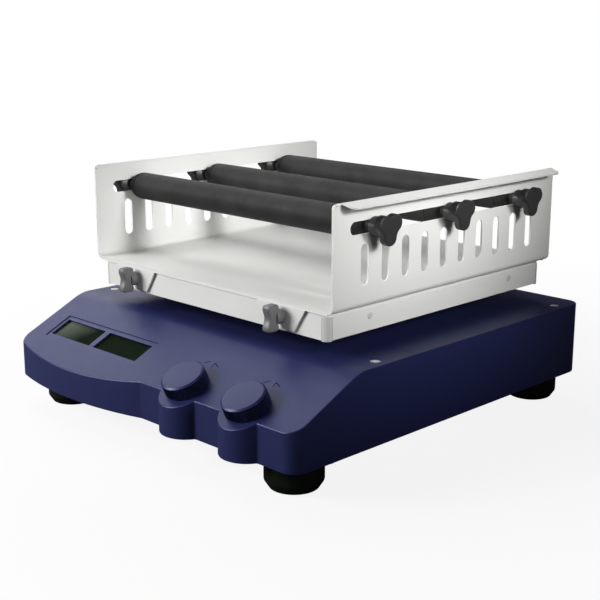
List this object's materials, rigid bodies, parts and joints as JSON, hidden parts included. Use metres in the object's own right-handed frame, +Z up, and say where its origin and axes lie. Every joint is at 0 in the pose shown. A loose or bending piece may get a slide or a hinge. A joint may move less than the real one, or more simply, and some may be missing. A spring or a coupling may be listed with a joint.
{
  "type": "orbital shaker",
  "caption": "Bench orbital shaker: low casing with a sloped control panel, an orbiting platform and a slotted sheet tray with sliding clamp bars for flasks.",
  "frame": {"origin": "on the floor, under the centre of the whole shaker's bounding box at rest", "axes": "+Z up, -Y towards the control panel, +X to the right of someone facing the panel"},
  "size_m": [0.37, 0.401, 0.2213],
  "materials": {
    "casing_paint": "satin",
    "plate_paint": "matte",
    "foot_rubber": "matte",
    "screw_steel": "satin",
    "plate_steel": "satin",
    "shaft_steel": "ground",
    "bearing_steel": "polished",
    "cast_aluminium": "satin",
    "weight_iron": "rough",
    "motor_paint": "satin",
    "belt_rubber": "matte",
    "sheet_paint": "satin",
    "post_paint": "satin",
    "sleeve_rubber": "satin",
    "clamp_plastic": "satin",
    "thumb_plastic": "satin",
    "dial_plastic": "satin",
    "encoder_metal": "satin",
    "encoder_case": "matte",
    "bezel_plastic": "gloss",
    "window_clear": "polished",
    "lcd_green": "gloss",
    "board_green": "satin",
    "socket_plastic": "gloss",
    "pin_brass": "polished"
  },
  "bodies": {
    "base": {"casing": "casing_paint", "bottom_plate": "plate_paint", "rubber_feet": "foot_rubber", "pan_screws": "screw_steel", "deck_screws": "screw_steel", "drive_plate": "plate_steel", "flange_screws": "screw_steel", "bearing_housing": "cast_aluminium", "main_bearings": "bearing_steel", "drive_belt": "belt_rubber", "motor_body": "motor_paint", "idler_housings": "cast_aluminium", "idler_bearings": "bearing_steel", "display_bezel": "bezel_plastic", "display_windows": "window_clear", "lcd_modules": "lcd_green", "control_board": "board_green", "encoder_bodies": "encoder_case", "power_board": "board_green", "mains_inlet": "socket_plastic", "inlet_pins": "pin_brass", "switch_frame": "socket_plastic"},
    "drive": {"drive_shaft": "shaft_steel", "driven_pulley": "cast_aluminium", "eccentric_crank": "shaft_steel", "counterweight": "weight_iron"},
    "platform": {"platform_pan": "sheet_paint", "corner_posts": "post_paint", "skirt_screws": "screw_steel", "bearing_cups": "cast_aluminium", "platform_bearings": "bearing_steel", "flask_tray": "sheet_paint"},
    "motor_rotor": {"motor_shaft": "shaft_steel", "motor_pulley": "cast_aluminium"},
    "idler_1": {"idler_crank_1": "shaft_steel"},
    "idler_2": {"idler_crank_2": "shaft_steel"},
    "idler_3": {"idler_crank_3": "shaft_steel"},
    "speed_encoder": {"speed_rotor": "encoder_metal"},
    "speed_dial": {"speed_shaft": "encoder_metal", "speed_knob": "dial_plastic"},
    "time_encoder": {"time_rotor": "encoder_metal"},
    "time_dial": {"time_shaft": "encoder_metal", "time_knob": "dial_plastic"},
    "rocker": {"switch_rocker": "socket_plastic"},
    "front_bar": {"front_bar_rod": "screw_steel", "front_bar_sleeve": "sleeve_rubber"},
    "front_clamp_left": {"front_clamp_left": "clamp_plastic"},
    "front_clamp_right": {"front_clamp_right": "clamp_plastic"},
    "middle_bar": {"middle_bar_rod": "screw_steel", "middle_bar_sleeve": "sleeve_rubber"},
    "middle_clamp_left": {"middle_clamp_left": "clamp_plastic"},
    "middle_clamp_right": {"middle_clamp_right": "clamp_plastic"},
    "rear_bar": {"rear_bar_rod": "screw_steel", "rear_bar_sleeve": "sleeve_rubber"},
    "rear_clamp_left": {"rear_clamp_left": "clamp_plastic"},
    "rear_clamp_right": {"rear_clamp_right": "clamp_plastic"},
    "thumb_screw_front_left": {"thumb_screw_front_left": "thumb_plastic"},
    "thumb_screw_front_right": {"thumb_screw_front_right": "thumb_plastic"},
    "thumb_screw_rear_left": {"thumb_screw_rear_left": "thumb_plastic"},
    "thumb_screw_rear_right": {"thumb_screw_rear_right": "thumb_plastic"}
  },
  "joints": [
    {"name": "drive_spin", "type": "hinge", "parent": "base", "child": "drive", "pos_m": [0, 0.039, 0.1], "axis": [0, 0, 1], "continuous": true},
    {"name": "platform_orbit", "type": "hinge", "parent": "drive", "child": "platform", "pos_m": [0, 0.034, 0.116], "axis": [0, 0, 1], "continuous": true},
    {"name": "motor_spin", "type": "hinge", "parent": "base", "child": "motor_rotor", "pos_m": [0, -0.056, 0.06], "axis": [0, 0, 1], "continuous": true},
    {"name": "idler_1_spin", "type": "hinge", "parent": "base", "child": "idler_1", "pos_m": [0, 0.139, 0.09], "axis": [0, 0, 1], "continuous": true},
    {"name": "idler_2_spin", "type": "hinge", "parent": "base", "child": "idler_2", "pos_m": [-0.0866, -0.011, 0.09], "axis": [0, 0, 1], "continuous": true},
    {"name": "idler_3_spin", "type": "hinge", "parent": "base", "child": "idler_3", "pos_m": [0.0866, -0.011, 0.09], "axis": [0, 0, 1], "continuous": true},
    {"name": "speed_turn", "type": "hinge", "parent": "base", "child": "speed_encoder", "pos_m": [0.0493, -0.17627, 0.06448], "axis": [0, -0.428, 0.9038], "continuous": true},
    {"name": "speed_push", "type": "slide", "parent": "speed_encoder", "child": "speed_dial", "axis": [0, 0.428, -0.9038], "range_m": [0, 0.001], "stiffness_N_per_m": 800, "springref_m": -0.0006},
    {"name": "time_turn", "type": "hinge", "parent": "base", "child": "time_encoder", "pos_m": [0.1228, -0.17627, 0.06448], "axis": [0, -0.428, 0.9038], "continuous": true},
    {"name": "time_push", "type": "slide", "parent": "time_encoder", "child": "time_dial", "axis": [0, 0.428, -0.9038], "range_m": [0, 0.001], "stiffness_N_per_m": 800, "springref_m": -0.0006},
    {"name": "switch_rock", "type": "hinge", "parent": "base", "child": "rocker", "pos_m": [-0.078, 0.1915, 0.056], "axis": [1, 0, 0], "range_deg": [0, 20]},
    {"name": "front_bar_slide", "type": "slide", "parent": "platform", "child": "front_bar", "axis": [0, 1, 0], "range_m": [-0.02, 0.02]},
    {"name": "front_clamp_left_turn", "type": "hinge", "parent": "front_bar", "child": "front_clamp_left", "pos_m": [-0.17, -0.0695, 0.1987], "axis": [-1, 0, 0], "range_deg": [0, 270]},
    {"name": "front_clamp_right_turn", "type": "hinge", "parent": "front_bar", "child": "front_clamp_right", "pos_m": [0.17, -0.0695, 0.1987], "axis": [1, 0, 0], "range_deg": [0, 270]},
    {"name": "middle_bar_slide", "type": "slide", "parent": "platform", "child": "middle_bar", "axis": [0, 1, 0], "range_m": [-0.038, 0.03]},
    {"name": "middle_clamp_left_turn", "type": "hinge", "parent": "middle_bar", "child": "middle_clamp_left", "pos_m": [-0.17, 0.0255, 0.1987], "axis": [-1, 0, 0], "range_deg": [0, 270]},
    {"name": "middle_clamp_right_turn", "type": "hinge", "parent": "middle_bar", "child": "middle_clamp_right", "pos_m": [0.17, 0.0255, 0.1987], "axis": [1, 0, 0], "range_deg": [0, 270]},
    {"name": "rear_bar_slide", "type": "slide", "parent": "platform", "child": "rear_bar", "axis": [0, 1, 0], "range_m": [-0.032, 0.032]},
    {"name": "rear_clamp_left_turn", "type": "hinge", "parent": "rear_bar", "child": "rear_clamp_left", "pos_m": [-0.17, 0.125, 0.1987], "axis": [-1, 0, 0], "range_deg": [0, 270]},
    {"name": "rear_clamp_right_turn", "type": "hinge", "parent": "rear_bar", "child": "rear_clamp_right", "pos_m": [0.17, 0.125, 0.1987], "axis": [1, 0, 0], "range_deg": [0, 270]},
    {"name": "thumb_screw_front_left_turn", "type": "hinge", "parent": "platform", "child": "thumb_screw_front_left", "pos_m": [-0.0965, -0.126, 0.122], "axis": [0, -1, 0], "range_deg": [0, 270]},
    {"name": "thumb_screw_front_right_turn", "type": "hinge", "parent": "platform", "child": "thumb_screw_front_right", "pos_m": [0.0965, -0.126, 0.122], "axis": [0, -1, 0], "range_deg": [0, 270]},
    {"name": "thumb_screw_rear_left_turn", "type": "hinge", "parent": "platform", "child": "thumb_screw_rear_left", "pos_m": [-0.0965, 0.194, 0.122], "axis": [0, 1, 0], "range_deg": [0, 270]},
    {"name": "thumb_screw_rear_right_turn", "type": "hinge", "parent": "platform", "child": "thumb_screw_rear_right", "pos_m": [0.0965, 0.194, 0.122], "axis": [0, 1, 0], "range_deg": [0, 270]}
  ],
  "couplings": [
    {"joint": "platform_orbit", "follows": "drive_spin", "ratio": -1},
    {"joint": "motor_spin", "follows": "drive_spin", "ratio": 3.5},
    {"joint": "idler_1_spin", "follows": "drive_spin", "ratio": 1},
    {"joint": "idler_2_spin", "follows": "drive_spin", "ratio": 1},
    {"joint": "idler_3_spin", "follows": "drive_spin", "ratio": 1}
  ]
}
